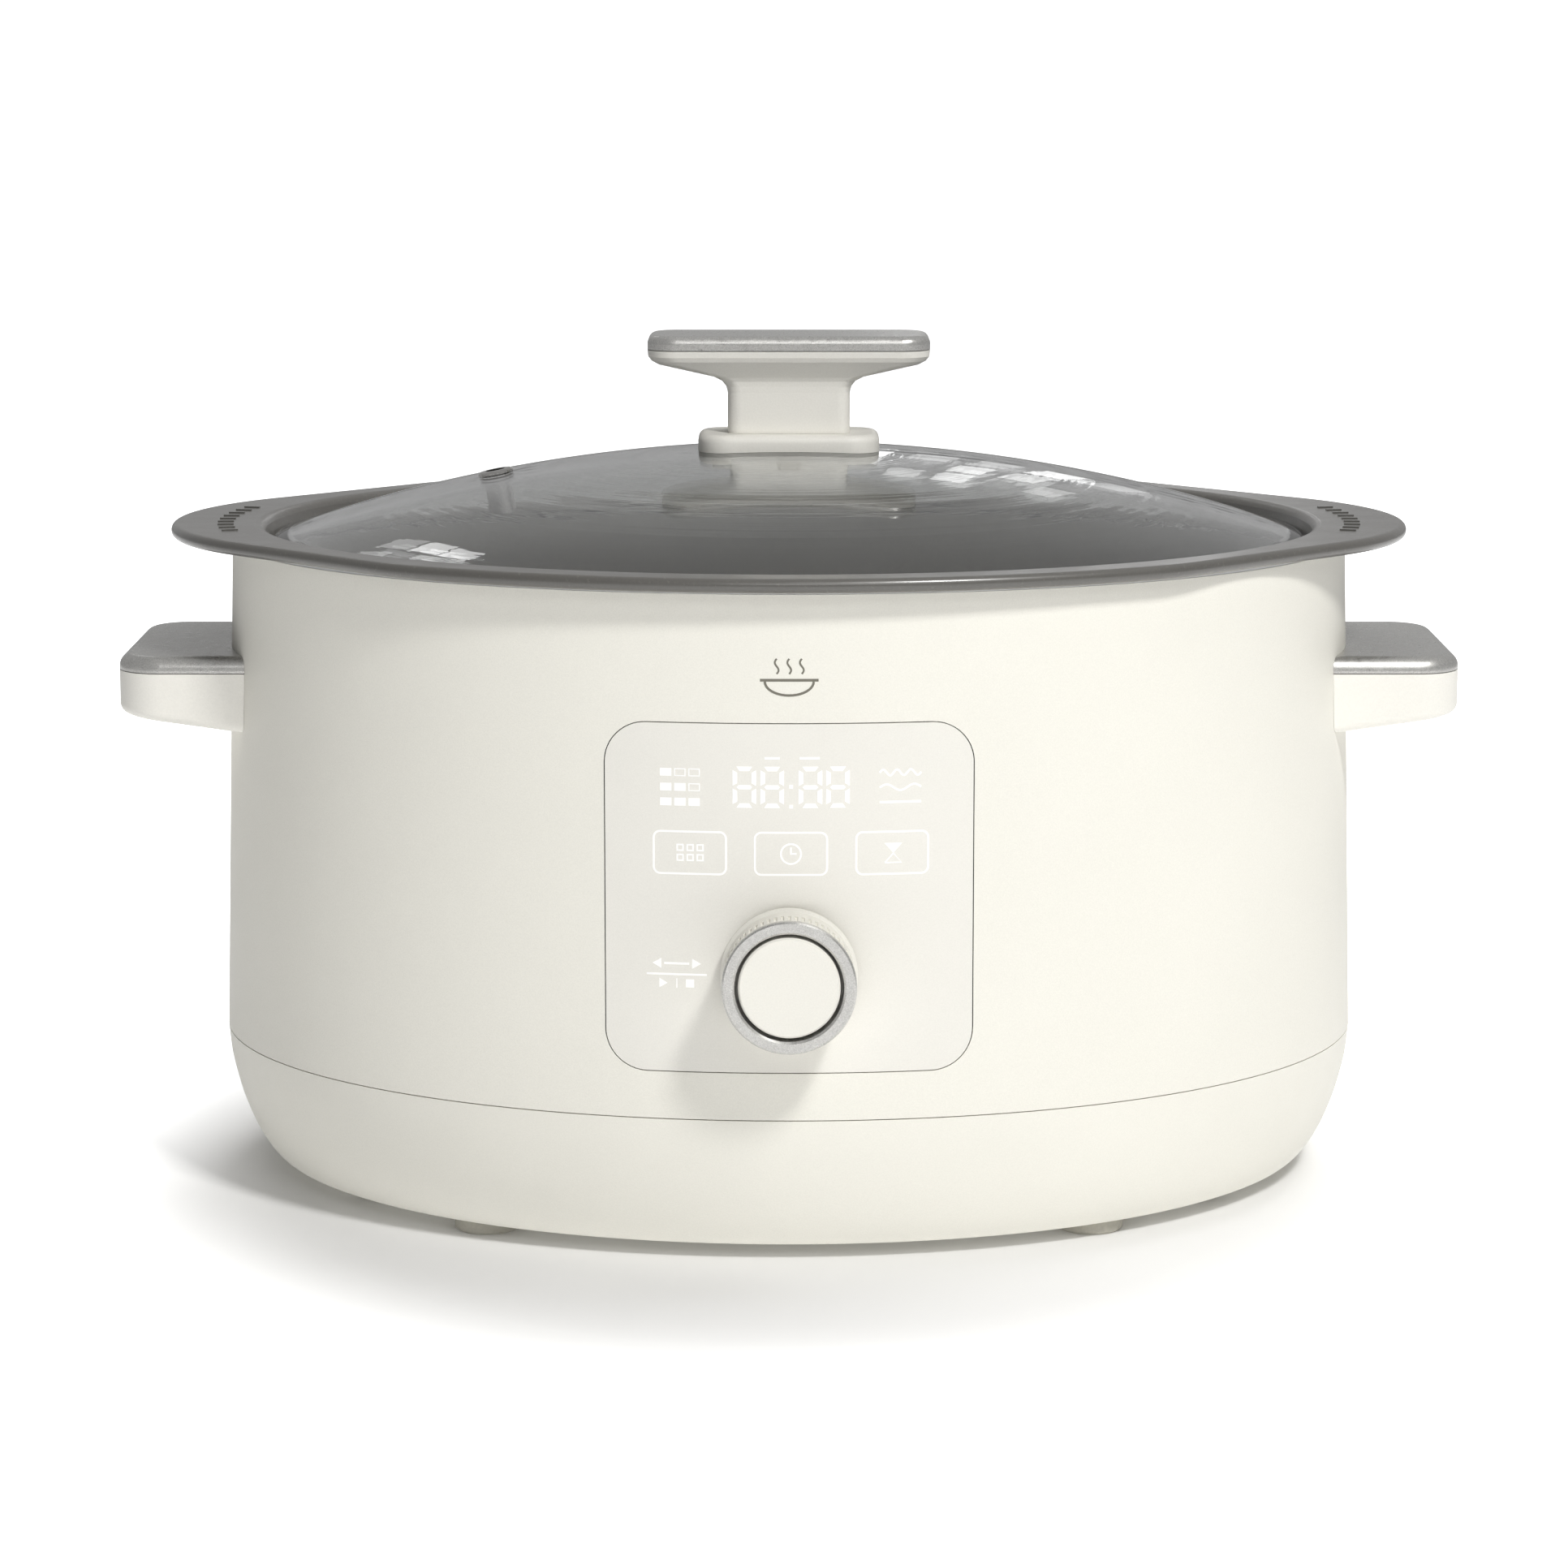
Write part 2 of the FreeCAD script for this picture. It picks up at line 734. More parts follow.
buzzer = turned("buzzer", [
    ("0", "0"), ("6", "0"), ("6", "5.2"), ("1", "5.2"), ("1", "4.4"), ("0", "4.4"),
])
publish("buzzer", buzzer, "30", "-control_board_face - 0.05", "84", TURNS["-Y"])

key_springs = []
for number, (x, z) in enumerate(key_places):
    reach = "9.2" if number == 1 else "6.4"
    tube = turned(f"key_spring_{number}", [
        ("2.9", "0"), ("3.7", "0"), ("3.7", f"{reach} - 1.2"), ("4.1", reach), ("1.2", reach),
        ("1.2", f"{reach} - 0.6"), ("2.9", f"{reach} - 1.2"),
    ])
    key_springs.append(move(tube, x, "-control_board_face - 0.05", z, TURNS["-Y"]))
publish("touch_springs", group("key_spring_set", *key_springs))

# ---------------------------------------------------------------- encoder behind the dial

encoder_bore = rod("encoder_bore", "shaft_radius + 0.06", "12", "0", "-134", "dial_height", "-Y")
encoder_case = block("encoder_case", "12", "6.3", "12.6", "0", "-control_board_face - 3.2",
                     "dial_height - 6.3")
encoder_bushing = rod(
    "encoder_bushing", "3.5", "8.4", "0", "-control_board_face - 6", "dial_height", "-Y"
)
publish("encoder_body", cut(
    "encoder_cut", fuse("encoder_whole", encoder_case, encoder_bushing), encoder_bore
))
encoder_nut = hex_nut("encoder_nut_body", "6.2", "3.55", "1.8")
publish("encoder_nut", encoder_nut, "0", "-panel_face - 0.15", "dial_height", TURNS["-Y"])

# The shaft has a flat that the dial's hub keys on to.
shaft_blank = turned("shaft_blank", [
    ("0", "-7.8"), ("shaft_radius", "-7.8"), ("shaft_radius", "12.5"),
    ("shaft_radius - 0.5", "13"), ("0", "13"),
])
shaft_flat = sketch_on(shaft_blank, "shaft_flat_outline", "XY_Plane", "4.5")
polygon(shaft_flat, [("-4", "1.6"), ("4", "1.6"), ("4", "4"), ("-4", "4")])
pocket(shaft_blank, "shaft_flat", shaft_flat, "12", reverse=True)
publish("encoder_shaft", shaft_blank, "0", "-panel_face", "dial_height", TURNS["-Y"])

# ---------------------------------------------------------------- dial: skirt, ring, button, spring

dial = turned("dial", [
    ("shaft_radius + 0.05", "5"),
    ("hub_radius", "5"),
    ("hub_radius", "8"),
    ("dial_bore_radius", "8"),
    ("dial_bore_radius", "0.9"),
    ("dial_lip_radius - 0.5", "0.9"),
    ("dial_lip_radius", "1.5"),
    ("dial_lip_radius", "2.7"),
    ("dial_lip_radius - 0.5", "3.3"),
    ("dial_skirt_radius", "3.8"),
    ("dial_skirt_radius", "dial_reach - 2.35"),
    ("dial_bore_radius", "dial_reach - 2.35"),
    ("dial_bore_radius", "9.6"),
    ("hub_radius", "9.6"),
    ("hub_radius", "15.1"),
    ("shaft_radius + 0.05", "15.1"),
])
knurl_sketch = sketch_on(dial, "knurl_outline", "XY_Plane", "9.4")
ring_of(knurl_sketch, "knurl_radius", "dial_skirt_radius")
knurl_cut = pocket(dial, "knurl_cut", knurl_sketch, "5.6", reverse=True)
knurl = dial.newObject("PartDesign::PolarPattern", "knurl")
knurl.Originals = [knurl_cut]
knurl.Axis = (knurl_sketch, ["N_Axis"])
knurl.Angle = 360
knurl.Occurrences = 60
dial.Tip = knurl
publish("dial_body", dial, "0", "-panel_face", "dial_height", TURNS["-Y"])

dial_ring = turned("silver_ring", [
    ("ring_bore_radius", "10.2"),
    ("dial_bore_radius - 0.05", "10.2"),
    ("dial_bore_radius - 0.05", "dial_reach - 2.3"),
    ("dial_radius", "dial_reach - 2.3"),
    ("dial_radius", "dial_reach - 0.5"),
    ("dial_radius - 0.5", "dial_reach"),
    ("ring_bore_radius + 0.6", "dial_reach"),
    ("ring_bore_radius", "dial_reach - 0.6"),
])
publish("dial_ring", dial_ring, "0", "-panel_face", "dial_height", TURNS["-Y"])

button = turned("push_button", [
    ("0", "dial_reach - 3"),
    ("hub_radius + 0.05", "dial_reach - 3"),
    ("hub_radius + 0.05", "11.2"),
    ("hub_radius + 1.3", "11.2"),
    ("hub_radius + 1.3", "dial_reach - 3"),
    ("button_radius - 1.2", "dial_reach - 3"),
    ("button_radius - 1.2", "dial_reach - 6"),
    ("button_radius", "dial_reach - 6"),
    ("button_radius", "dial_reach - 1"),
    ("button_radius - 0.5", "dial_reach - 0.5"),
    ("0", "dial_reach - 0.5"),
])
publish("dial_button", button, "0", "-panel_face", "dial_height", TURNS["-Y"])

coil_line = doc.addObject("Part::Helix", "coil_line")
bind(coil_line, Radius="11", Pitch="1.4", Height="4.2")
coil_section = doc.addObject("Part::Circle", "coil_section")
coil_section.Placement = Placement(Vector(0, 0, 0), Rotation(Vector(1, 0, 0), 90))
bind(coil_section, Radius="0.4", Placement__Base__x="11")
coil = doc.addObject("Part::Sweep", "coil")
coil.Sections = [coil_section]
coil.Spine = (coil_line, [])
coil.Solid = True
coil.Frenet = True
publish("button_spring", group("coil_set", coil), "0", "-panel_face - 10.1", "dial_height",
        TURNS["-Y"])

# ---------------------------------------------------------------- side handles


def handle_outline(sketch, reach):
    """Plan of a handle: straight sides and round outer corners, from inside the casing out."""
    inner, outer = 150.0, value_of(reach)
    half, r = value_of("handle_half_depth"), value_of("handle_corner")
    up = Vector(0, 0, 1)
    sketch.addGeometry(Part.LineSegment(Vector(inner, half, 0), Vector(inner, -half, 0)))
    sketch.addGeometry(Part.LineSegment(Vector(inner, -half, 0), Vector(outer - r, -half, 0)))
    low = Part.Circle(Vector(outer - r, r - half, 0), up, r)
    sketch.addGeometry(Part.ArcOfCircle(low, -math.pi / 2, 0))
    sketch.addGeometry(Part.LineSegment(Vector(outer, r - half, 0), Vector(outer, half - r, 0)))
    high = Part.Circle(Vector(outer - r, half - r, 0), up, r)
    sketch.addGeometry(Part.ArcOfCircle(high, 0, math.pi / 2))
    sketch.addGeometry(Part.LineSegment(Vector(outer - r, half, 0), Vector(inner, half, 0)))
    for kind, *where in [
        ("Coincident", 0, 2, 1, 1),
        ("Tangent", 1, 2, 2, 1),
        ("Tangent", 2, 2, 3, 1),
        ("Tangent", 3, 2, 4, 1),
        ("Tangent", 4, 2, 5, 1),
        ("Coincident", 5, 2, 0, 1),
        ("Horizontal", 1),
        ("Vertical", 3),
        ("Horizontal", 5),
        ("Equal", 2, 4),
        ("Symmetric", 0, 1, 0, 2, -1),
    ]:
        sketch.addConstraint(Sketcher.Constraint(kind, *where))
    pin(sketch, "DistanceX", -1, 1, 0, 1, formula="150")
    pin(sketch, "DistanceX", -1, 1, 3, 1, formula=reach)
    pin(sketch, "DistanceY", 0, 2, 0, 1, formula="2 * handle_half_depth")
    pin(sketch, "Radius", 2, formula="handle_corner")


def outer_rim(height, inner_limit=160.0):
    """Chooser for a handle's outline edges at a height, without its hidden inner edge."""
    def choose(edge):
        return at_height(edge, height) and edge.BoundBox.XMax > inner_limit
    return choose


handle_block = new_body("handle_block")
handle_plan = sketch_on(handle_block, "handle_plan", "XY_Plane", "handle_bottom_inner - 2")
handle_outline(handle_plan, "handle_reach")
handle_pad = pad(
    handle_block, "handle_pad", handle_plan,
    "handle_top - handle_cap_height - handle_bottom_inner + 2 - cap_seam",
)
slope_sketch = sketch_on(handle_block, "handle_slope", "XZ_Plane")
polygon(slope_sketch, [
    ("140", "handle_bottom_inner - 10"),
    ("240", "handle_bottom_inner - 10"),
    ("240", "handle_bottom_outer + (handle_bottom_outer - handle_bottom_inner)"),
    ("172", "handle_bottom_inner"),
    ("140", "handle_bottom_inner"),
])
handle_slope = pocket(handle_block, "handle_slope_cut", slope_sketch)


def under_edge(edge):
    box = edge.BoundBox
    low = box.ZMin < value_of("handle_bottom_outer") + 1.5
    return low and box.XMax > 175 and box.ZMax < value_of("handle_bottom_outer") + 2


handle_soft = soften(handle_block, "handle_soft", handle_slope, "3", under_edge)
handle_block.Tip = handle_soft
doc.recompute()

cap_block = new_body("handle_cap_block")
cap_plan = sketch_on(cap_block, "handle_cap_plan", "XY_Plane", "handle_top - handle_cap_height")
handle_outline(cap_plan, "handle_reach")
cap_pad = pad(cap_block, "handle_cap_pad", cap_plan, "handle_cap_height")
cap_block.Tip = soften(
    cap_block, "handle_cap_soft", cap_pad, "handle_cap_height - 0.8",
    outer_rim(value_of("handle_top")),
)

casing_keepout = casing_solid("casing_keepout", "-fit_gap", "seam_height + 1", "casing_top - 1")
screw_sockets = [
    rod(f"handle_socket_{row}", "screw_radius + 0.05", "40", "150", f"{row} * 22", "153.5", "+X")
    for row in (-1, 1)
]
peg_sockets = [
    rod(f"peg_socket_{row}", "2.1", "8", "190", f"{row} * 20",
        "handle_top - handle_cap_height - 6", "+Z")
    for row in (-1, 1)
]
pegs = [
    rod(f"peg_{row}", "2", "6", "190", f"{row} * 20", "handle_top - handle_cap_height - 5", "+Z")
    for row in (-1, 1)
]
# Low seats round the pegs hold each cap off its body, which leaves the fine seam between them.
seats = [
    rod(f"cap_seat_{row}", "3.6", "0.5", "190", f"{row} * 20",
        "handle_top - handle_cap_height - cap_seam + fit_gap", "+Z")
    for row in (-1, 1)
]
right_body = cut("right_handle_cut", handle_block, casing_keepout, *screw_sockets, *peg_sockets)
right_cap = cut("right_cap_cut", fuse("right_cap_whole", cap_block, *pegs, *seats), casing_keepout)
doc.recompute()
publish("left_handle_body", mirrored("left_handle", right_body, Vector(1, 0, 0)))
publish("left_handle_cap", mirrored("left_cap", right_cap, Vector(1, 0, 0)))
publish("right_handle_body", group("right_handle", right_body))
publish("right_handle_cap", group("right_cap", right_cap))
handle_screws = [
    screw(f"handle_screw_{n}", "3", "2", "screw_radius", "18",
          f"{side} * (({casing_half('width', '156.5', 'casing_wall')}) * 0.9835 - 0.1)",
          f"{row} * 22", "153.5", "+X" if side > 0 else "-X")
    for n, (side, row) in enumerate(handle_screw_places)
]
publish("handle_screws", group("handle_screw_set", *handle_screws))

# ---------------------------------------------------------------- crock


def oval_vessel(name, top, top_width, top_depth, draft_from, draft, bottom, corner, above="0"):
    """A drafted oval tub with a round lower edge, as a solid."""
    def half(which, z, pull):
        fall = f"({draft}) * (({draft_from}) - ({z})) / (({draft_from}) - ({bottom}))"
        return f"({which}) - {fall} - ({corner}) * {pull:.5f}"

    straight = [f"({top}) + ({above})"] + [
        f"({top}) + (({bottom}) + ({corner}) - ({top})) * {share}" for share in (0.3, 0.6, 0.85, 1)
    ]
    stations = [(half(top_width, z, 0), half(top_depth, z, 0), z) for z in straight]
    for degrees in (22.5, 45, 67.5, 90):
        sweep = math.radians(degrees)
        z = f"({bottom}) + ({corner}) * {1 - math.sin(sweep):.5f}"
        pull = 1 - math.cos(sweep)
        stations.append((half(top_width, z, pull), half(top_depth, z, pull), z))
    return oval_loft(name, stations, ruled=False)


# The rim's plan, one quarter of it: front arc, shoulder, straight flank and rounded end.
rim_body = new_body("rim_body")
rim_plan = sketch_on(rim_body, "rim_plan", "XY_Plane", "rim_top - rim_thickness")
wide, deep = value_of("rim_half_width"), value_of("rim_half_depth")
front_r, end_r = value_of("rim_front_radius"), value_of("rim_end_radius")
shoulder_r = value_of("rim_shoulder_radius")
up = Vector(0, 0, 1)
front_middle = Vector(0, deep - front_r, 0)
end_middle = Vector(wide - end_r, 0, 0)
diagonal = Vector(1, 1, 0).normalize()
flank_end = end_middle + diagonal * end_r
# The shoulder's centre is where it touches both the front arc and the 45 degree flank.
offset = flank_end - diagonal * shoulder_r - front_middle
along = Vector(-1, 1, 0).normalize()
reach_back = front_r - shoulder_r
slide = -offset.dot(along) + math.sqrt(offset.dot(along) ** 2 - offset.Length ** 2
                                       + reach_back ** 2)
shoulder_middle = front_middle + offset + along * slide
touch = (shoulder_middle - front_middle).normalize()
front_end = front_middle + touch * front_r
flank_start = shoulder_middle + diagonal * shoulder_r
lean = math.atan2(touch.y, touch.x)
rim_plan.addGeometry(Part.ArcOfCircle(
    Part.Circle(front_middle, up, front_r), lean, math.pi / 2
))
rim_plan.addGeometry(Part.ArcOfCircle(
    Part.Circle(shoulder_middle, up, shoulder_r), math.pi / 4, lean
))
rim_plan.addGeometry(Part.LineSegment(flank_start, flank_end))
rim_plan.addGeometry(Part.ArcOfCircle(Part.Circle(end_middle, up, end_r), 0, math.pi / 4))
rim_plan.addGeometry(Part.LineSegment(Vector(wide, 0, 0), Vector(0, 0, 0)))
rim_plan.addGeometry(Part.LineSegment(Vector(0, 0, 0), Vector(0, deep, 0)))
for kind, *where in [
    ("Tangent", 0, 1, 1, 2),
    ("Tangent", 1, 1, 2, 1),
    ("Tangent", 2, 2, 3, 2),
    ("Coincident", 3, 1, 4, 1),
    ("Coincident", 4, 2, 5, 1),
    ("Coincident", 5, 2, 0, 2),
    ("Coincident", 4, 2, -1, 1),
    ("PointOnObject", 4, 1, -1),
    ("PointOnObject", 5, 2, -2),
    ("PointOnObject", 0, 3, -2),
    ("PointOnObject", 3, 3, -1),
]:
    rim_plan.addConstraint(Sketcher.Constraint(kind, *where))
pin(rim_plan, "Radius", 0, formula="rim_front_radius")
pin(rim_plan, "Radius", 1, formula="rim_shoulder_radius")
pin(rim_plan, "Radius", 3, formula="rim_end_radius")
pin(rim_plan, "DistanceX", 4, 2, 4, 1, formula="rim_half_width")
pin(rim_plan, "DistanceY", 5, 1, 5, 2, formula="rim_half_depth")
rim_plan.addConstraint(Sketcher.Constraint("Angle", 2, math.radians(-45)))
rim_pad = pad(rim_body, "rim_pad", rim_plan, "rim_thickness")
quarter = rim_body
half_rim = fuse("half_rim", quarter, mirrored("rim_left", quarter, Vector(1, 0, 0)))
whole_rim = fuse("whole_rim", half_rim, mirrored("rim_back", half_rim, Vector(0, 1, 0)))
rim_plate = rounded(
    "rim_plate", whole_rim, "rim_thickness / 2 - 0.1",
    lambda edge: at_height(edge, value_of("rim_top"))
    or at_height(edge, value_of("rim_top - rim_thickness")),
)
step = oval_loft("step", [
    ("wall_half_width", "wall_half_depth", "wall_top"),
    ("step_half_width", "step_half_depth", "step_bottom"),
    ("step_half_width", "step_half_depth", "rim_top - 1"),
])
tub = oval_vessel("tub", "wall_top", "wall_half_width", "wall_half_depth", "wall_top",
                  "wall_draft", "crock_bottom", "crock_round")
cavity = oval_vessel("cavity", "ledge_height", "cavity_half_width", "cavity_half_depth",
                     "ledge_height", "wall_draft", "cavity_floor", "cavity_round", "1")
lid_well = oval_loft("lid_well", [
    ("well_half_width", "well_half_depth", "ledge_height"),
    ("well_half_width + well_flare", "well_half_depth + well_flare", "rim_top"),
    ("well_half_width + well_flare", "well_half_depth + well_flare", "rim_top + 2"),
])


def wing_ridges(side):
    """A short row of raised grip bars along the top of one wing."""
    bars = []
    for step_number in range(-4, 5):
        angle = math.radians(3.1 * step_number)
        x, y = side * 176.5 * math.cos(angle), 143 * math.sin(angle)
        lean_angle = math.degrees(math.atan2(y / 143 ** 2, x / 176.5 ** 2))
        bar = doc.addObject("Part::Box", f"ridge_{'r' if side > 0 else 'l'}_{step_number + 4}")
        bind(bar, Length="5", Width="1.2", Height="ridge_height + 1")
        turn = Rotation(Vector(0, 0, 1), lean_angle)
        corner = Vector(x, y, 0) - turn.multVec(Vector(2.5, 0.6, 0))
        bar.Placement = Placement(corner, turn)
        bind(bar, Placement__Base__z="rim_top - 1")
        bars.append(bar)
    return bars


crock_blank = cut("crock_blank", fuse("crock_whole", rim_plate, step, tub), lid_well, cavity)
crock_soft = rounded(
    "crock_soft", crock_blank, "3",
    lambda edge: at_height(edge, value_of("rim_top"))
    and abs(edge.BoundBox.XMax - value_of("well_half_width + well_flare")) < 0.5,
)
publish("crock", fuse("crock_ridged", crock_soft, *wing_ridges(-1), *wing_ridges(1)))

# ---------------------------------------------------------------- liner and heater


def liner_face(name, skin, low):
    """The liner's inner face, or its outer face when a skin is added."""
    collar = oval_loft(name + "_collar", [
        (f"wall_half_width + 1.5 + ({skin})", f"wall_half_depth + 1.5 + ({skin})",
         "wall_top - 1.4"),
        (f"step_half_width + liner_gap + ({skin})", f"step_half_depth + liner_gap + ({skin})",
         "step_bottom - 1.4"),
        (f"step_half_width + liner_gap + ({skin})", f"step_half_depth + liner_gap + ({skin})",
         "casing_top + flange_thickness" if name == "liner_outer" else "rim_top"),
    ])
    well = oval_vessel(
        name + "_well", "wall_top - 1.4", f"wall_half_width + 1.5 + ({skin})",
        f"wall_half_depth + 1.5 + ({skin})", "wall_top - 1.4", "wall_draft",
        low, "crock_round",
    )
    return fuse(name, collar, well)


flange = oval_loft("flange", [
    ("casing_top_half_width - 0.2", "casing_top_half_depth - 0.2", f"casing_top + {z}")
    for z in ("fit_gap", "flange_thickness")
])
liner = cut(
    "liner_cut",
    fuse("liner_whole", liner_face("liner_outer", "liner_wall", "liner_bottom"), flange),
    liner_face("liner_inner", "0", "liner_bottom + liner_wall"),
)
publish("liner", liner)


def band_face(name, skin, extra):
    """A drafted oval that follows the liner's wall over the heater band's height."""
    def half(which, z):
        fall = "wall_draft * (wall_top - 1.4 - ({})) / (wall_top - 1.4 - liner_bottom)".format(z)
        return f"{which} + 1.5 + liner_wall + ({skin}) - {fall}"
    return oval_loft(name, [
        (half("wall_half_width", z), half("wall_half_depth", z), z)
        for z in (f"band_bottom - {extra}", f"band_bottom + band_height + {extra}")
    ])


publish("heater_band", cut(
    "band_cut", band_face("band_outer", "0.1 + band_thickness", 0),
    band_face("band_inner", "0.1", 1),
    block("band_gap", "6", "60", "60", "0", "body_half_depth - 20", "band_bottom - 10"),
))

shield_blank = oval_loft("shield_blank", [
    ("125", "95", "shield_height"), ("125", "95", "shield_height + 0.8"),
])
publish("heat_shield", cut("shield_cut", shield_blank, *[
    rod(f"shield_bore_{n}", "2.4", "20", x, y, "shield_height - 10")
    for n, (x, y) in enumerate(tie_places)
]))
publish("shield_spacers", group("shield_spacer_set", *[
    rod(f"spacer_{n}", "3", "liner_bottom - shield_height - 0.9", f"{sx} * 80", f"{sy} * 55",
        "shield_height + 0.85")
    for n, (sx, sy) in enumerate(CORNERS)
]))
publish("tie_rods", group("tie_rod_set", *[
    rod(f"tie_rod_{n}", "2", "liner_bottom - 2.05", x, y, "2")
    for n, (x, y) in enumerate(tie_places)
]))

publish("tie_nuts", group("tie_nut_set", *[
    move(hex_nut(f"tie_nut_{n}", "3.8", "2.05", "2.2"), x, y, "base_underside - 2.25")
    for n, (x, y) in enumerate(tie_places)
]))

sensor = turned("sensor", [
    ("0", "0"), ("5", "0"), ("5", "3.5"), ("8", "3.5"), ("8", "6.4"), ("0", "6.4"),
])
publish("temperature_sensor", sensor, "0", "0", "liner_bottom - 6.45")
fuse_link = rod("fuse_link", "2.4", "16", "46", "-38", "liner_bottom - 2.5", "+Y")
publish("thermal_fuse", group("fuse_link_set", fuse_link))
fuse_strap = cut(
    "fuse_strap", block("strap_block", "8", "5", "6", "46", "-30", "liner_bottom - 6.05"),
    rod("strap_bore", "2.45", "30", "46", "-45", "liner_bottom - 2.5", "+Y"),
    block("strap_mouth", "4.9", "10", "6", "46", "-30", "liner_bottom - 2.5"),
)
publish("fuse_clip", fuse_strap)

# ---------------------------------------------------------------- power board in the base

power_body = new_body("power_board_body")
power_sketch = sketch_on(power_body, "power_board_outline")
rounded_rectangle(power_sketch, "58", "44", "3")
for x, y in board_post_places:
    ring_of(power_sketch, "1.5", f"{x} + 30", f"{y} - 20")
pad(power_body, "power_board_pad", power_sketch, "board_thickness")
publish("power_board", power_body, "-30", "20", "power_board_height + fit_gap")
power_screws = [
    screw(f"power_screw_{n}", "2.6", "1.6", "1.25", "8", x, y,
          "power_board_height + board_thickness + 0.1", "-Z")
    for n, (x, y) in enumerate(board_post_places)
]
publish("power_board_screws", group("power_screw_set", *power_screws))

DECK = "power_board_height + board_thickness + 0.1"


def boxed(label, width, depth, height, x, y, bevel):
    """A moulded component case standing on the power board."""
    body = new_body(label + "_body")
    sketch = sketch_on(body, label + "_outline")
    rounded_rectangle(sketch, f"({width}) / 2", f"({depth}) / 2", bevel)
    pad(body, label + "_pad", sketch, height)
    return publish(label, body, x, y, DECK)


boxed("relay", "19", "15.5", "15.3", "-64", "42", "0.6")
boxed("filter_capacitor", "18", "8", "14", "-64", "22", "0.8")
boxed("terminal_block", "28", "10", "12", "-30", "54", "0.5")

core_body = new_body("transformer_body")
core_sketch = sketch_on(core_body, "core_outline")
rounded_rectangle(core_sketch, "14", "9", "0.6")
pad(core_body, "core_pad", core_sketch, "22")
winding_sketch = sketch_on(core_body, "winding_outline", "XY_Plane", "5")
rounded_rectangle(winding_sketch, "9", "13", "3")
pad(core_body, "winding_pad", winding_sketch, "12")
publish("transformer", core_body, "-24", "26", DECK)

capacitor = turned("bulk_capacitor", [
    ("0", "0"), ("5", "0"), ("5", "2"), ("4.6", "2.6"), ("5", "3.2"), ("5", "15.6"),
    ("4.6", "16"), ("3.8", "16"), ("3.8", "15.7"), ("0", "15.7"),
])
publish("bulk_capacitor", capacitor, "6", "30", DECK)

# ---------------------------------------------------------------- lid


def dome_station(share, drop, shrink="0"):
    """One oval of the dome: a parabola that meets the lid's edge at full width."""
    pull = math.sqrt(1 - share)
    return (
        f"(lid_half_width - ({shrink})) * {pull:.5f}",
        f"(lid_half_depth - ({shrink})) * {pull:.5f}",
        f"lid_underside + lid_edge + dome_height * {share} - ({drop})",
    )


SHARES = (0, 0.08, 0.2, 0.35, 0.52, 0.7, 0.85, 0.95, 0.985, 0.9985)
dome = oval_loft("dome", [dome_station(share, "0") for share in SHARES], ruled=False)
edge_band = oval_loft("edge_band", [
    ("lid_half_width", "lid_half_depth", z) for z in ("lid_underside", "lid_underside + lid_edge")
])
dome_space = common(
    "dome_space",
    fuse(
        "dome_under",
        oval_loft("dome_inner", [dome_station(s, "glass_thickness") for s in SHARES],
                  ruled=False),
        oval_loft("dome_skirt", [
            ("lid_half_width", "lid_half_depth", z)
            for z in ("lid_underside - 5", "lid_underside + lid_edge - glass_thickness")
        ]),
    ),
    oval_loft("dome_limit", [
        ("lid_half_width - 6", "lid_half_depth - 6", z)
        for z in ("lid_underside - 4", "lid_underside + lid_edge + dome_height")
    ]),
)
slope_at_vent = "2 * dome_height * vent_x / lid_half_width ^ 2"
vent_lean = math.degrees(math.atan(value_of(slope_at_vent)))
vent_turn = (Vector(0, 1, 0), -vent_lean)
vent_z = "lid_underside + lid_edge + dome_height * (1 - (vent_x / lid_half_width) ^ 2)"
sunk = 15
vent_bore = doc.addObject("Part::Cylinder", "vent_bore")
bind(vent_bore, Radius="vent_tube_radius + 0.1", Height="30")
move(
    vent_bore,
    f"-vent_x + {sunk * math.sin(math.radians(vent_lean)):.4f}", "0",
    f"{vent_z} - {sunk * math.cos(math.radians(vent_lean)):.4f}", vent_turn,
)
glass_blank = cut(
    "glass_blank", fuse("glass_whole", dome, edge_band), dome_space,
    rod("knob_bore", "2.6", "60", "0", "0", "190"),
    rod("peg_bore", "3.1", "60", "-21", "0", "190"),
    vent_bore,
)
glass = rounded(
    "glass", glass_blank, "1.4",
    lambda edge: edge.BoundBox.XMax > value_of("lid_half_width") - 0.5
    and (at_height(edge, value_of("lid_underside"))
         or at_height(edge, value_of("lid_underside + lid_edge"))),
)
publish("glass_lid", glass)

grommet = turned("grommet", [
    ("vent_tube_radius - 1.1", "-13"),
    ("vent_tube_radius", "-13"),
    ("vent_tube_radius", "0.1"),
    ("vent_flange_radius", "0.1"),
    ("vent_flange_radius", "0.7"),
    ("vent_flange_radius - 0.6", "1.3"),
    ("vent_tube_radius - 1.1", "1.3"),
])
publish("steam_vent", grommet, "-vent_x", "0", vent_z, vent_turn)

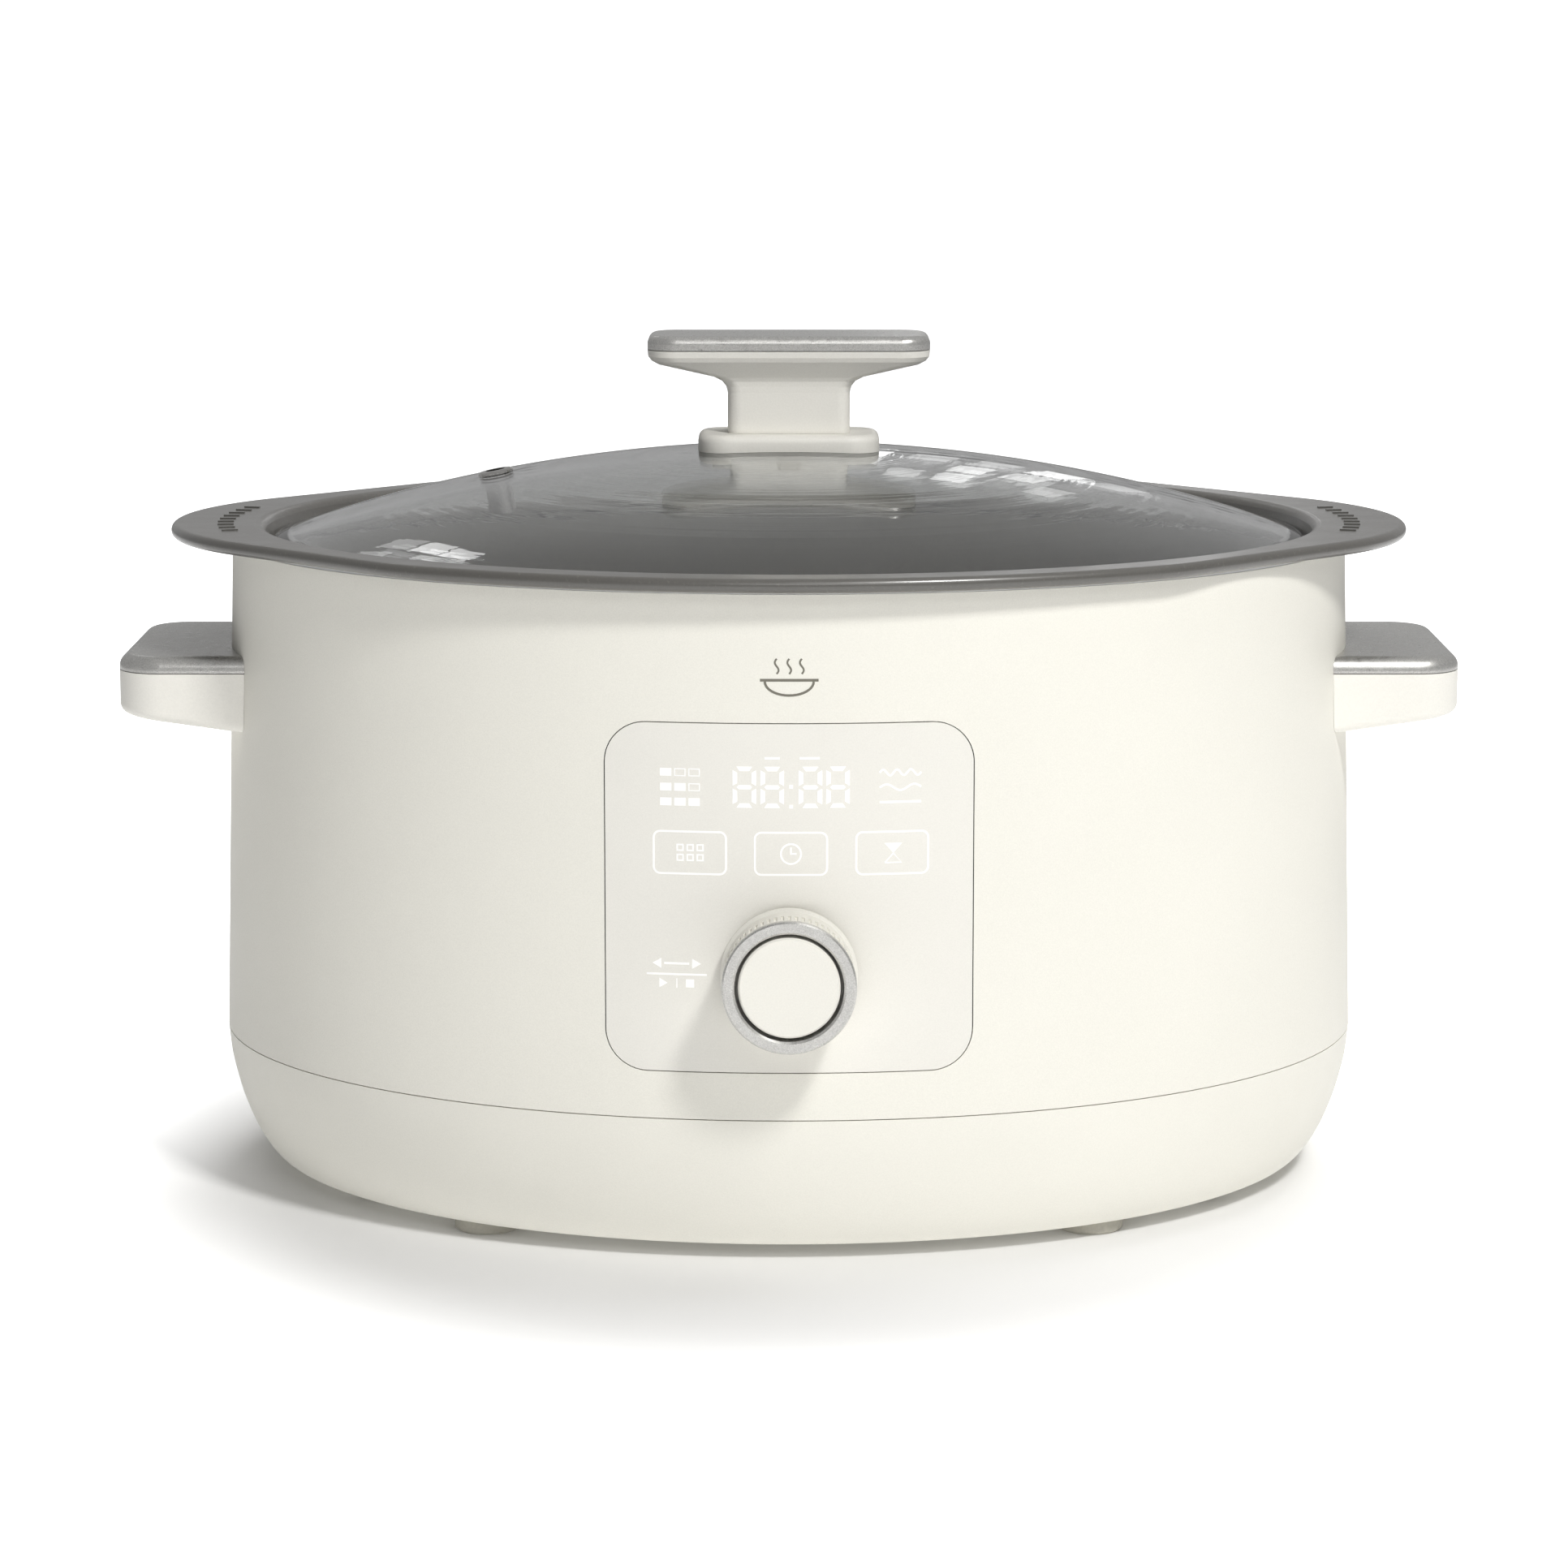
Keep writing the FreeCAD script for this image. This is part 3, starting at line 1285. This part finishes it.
dome_keepout = move(
    oval_loft("dome_keepout", [dome_station(s, "0") for s in SHARES], ruled=False), z="fit_gap"
)
plinth_body = new_body("plinth_body")
plinth_sketch = sketch_on(plinth_body, "plinth_outline", "XY_Plane", "neck_bottom - 8")
rounded_rectangle(plinth_sketch, "plinth_half_width", "plinth_half_depth", "10")
plinth_pad = pad(plinth_body, "plinth_pad", plinth_sketch, "8 - fit_gap")
plinth_body.Tip = soften(
    plinth_body, "plinth_soft", plinth_pad, "2.4",
    lambda edge: at_height(edge, value_of("neck_bottom - fit_gap")),
)
plinth = fuse(
    "plinth_whole",
    cut("plinth_seat", plinth_body, dome_keepout),
    rod("lid_peg", "3", "neck_bottom - 220", "-21", "0", "219"),
)
publish("lid_handle_base", cut(
    "plinth_cut", plinth, rod("plinth_bore", "2.4", "30", "0", "0", "215")
))


def knob_section(number, half_width, half_depth, corner, z):
    """One level of the lid handle, from its flared top down to the neck."""
    sketch = doc.addObject("Sketcher::SketchObject", f"knob_section_{number}")
    rounded_rectangle(sketch, half_width, half_depth, corner)
    return move(sketch, z=z)


knob = doc.addObject("Part::Loft", "knob")
KNOB_SEAM = "knob_top - knob_cap_height"
knob.Sections = [
    knob_section(number, *level) for number, level in enumerate([
        ("neck_half_width", "neck_half_depth", "neck_corner", "neck_bottom"),
        ("neck_half_width", "neck_half_depth", "neck_corner", f"{KNOB_SEAM} - 13.5"),
        ("neck_half_width + 0.5", "neck_half_depth + 0.15", "neck_corner + 0.1",
         f"{KNOB_SEAM} - 11.6"),
        ("neck_half_width + 1.8", "neck_half_depth + 0.4", "neck_corner + 0.4",
         f"{KNOB_SEAM} - 10"),
        ("neck_half_width + 4.4", "neck_half_depth + 1", "neck_corner + 1",
         f"{KNOB_SEAM} - 8.7"),
        ("knob_half_width - 3.4", "knob_half_depth - 1.8", "knob_corner - 1.2",
         f"{KNOB_SEAM} - 4.8"),
        ("knob_half_width - 1.2", "knob_half_depth - 0.7", "knob_corner - 0.4",
         f"{KNOB_SEAM} - 3.6"),
        ("knob_half_width - 0.2", "knob_half_depth - 0.1", "knob_corner - 0.1",
         f"{KNOB_SEAM} - 2.2"),
        ("knob_half_width", "knob_half_depth", "knob_corner", f"{KNOB_SEAM} - cap_seam"),
    ])
]
knob.Solid = True
knob.Ruled = True
publish("lid_handle_body", cut(
    "knob_cut", knob, rod("knob_screw_bore", "2.25", "20", "0", "0", "neck_bottom - 5")
))

knob_cap = new_body("knob_cap_body")
knob_cap_sketch = sketch_on(knob_cap, "knob_cap_outline", "XY_Plane", KNOB_SEAM)
rounded_rectangle(knob_cap_sketch, "knob_half_width", "knob_half_depth", "knob_corner")
knob_cap_pad = pad(knob_cap, "knob_cap_pad", knob_cap_sketch, "knob_cap_height")
knob_cap.Tip = soften(
    knob_cap, "knob_cap_soft", knob_cap_pad, "2.6",
    lambda edge: at_height(edge, value_of("knob_top")),
)
knob_cap_seat = block("knob_cap_seat", "60", "18", "0.5", "0", "0",
                      f"{KNOB_SEAM} - cap_seam + fit_gap")
publish("lid_handle_cap", fuse("knob_cap_whole", knob_cap, knob_cap_seat))

GLASS_UNDER = "lid_underside + lid_edge + dome_height - glass_thickness"
washer = turned("washer", [
    ("2.4", "-1.9"), ("8", "-1.9"), ("8", "-1.1"), ("3.2", "-1.1"), ("3.2", "-0.1"),
    ("2.4", "-0.1"),
])
publish("lid_washer", washer, z=GLASS_UNDER)
publish("lid_screw", group("lid_screw_set", screw(
    "knob_screw", "4", "2.4", "2.2", "24", "0", "0", f"{GLASS_UNDER} - 1.95", "+Z"
)))

# ---------------------------------------------------------------- check and write out

doc.recompute()
for thing in doc.Objects:
    faults = [word for word in thing.State if word in ("Invalid", "Error")]
    if faults:
        raise SystemExit(f"{thing.Label}: {faults}")
for label, thing in nodes:
    shape = thing.Shape
    if shape.isNull() or not shape.isValid() or not shape.Solids:
        raise SystemExit(f"{label}: its shape isn't a valid solid")
    shape.exportStep(f"parts/{label}.step")
print(len(nodes), "sub-parts written")
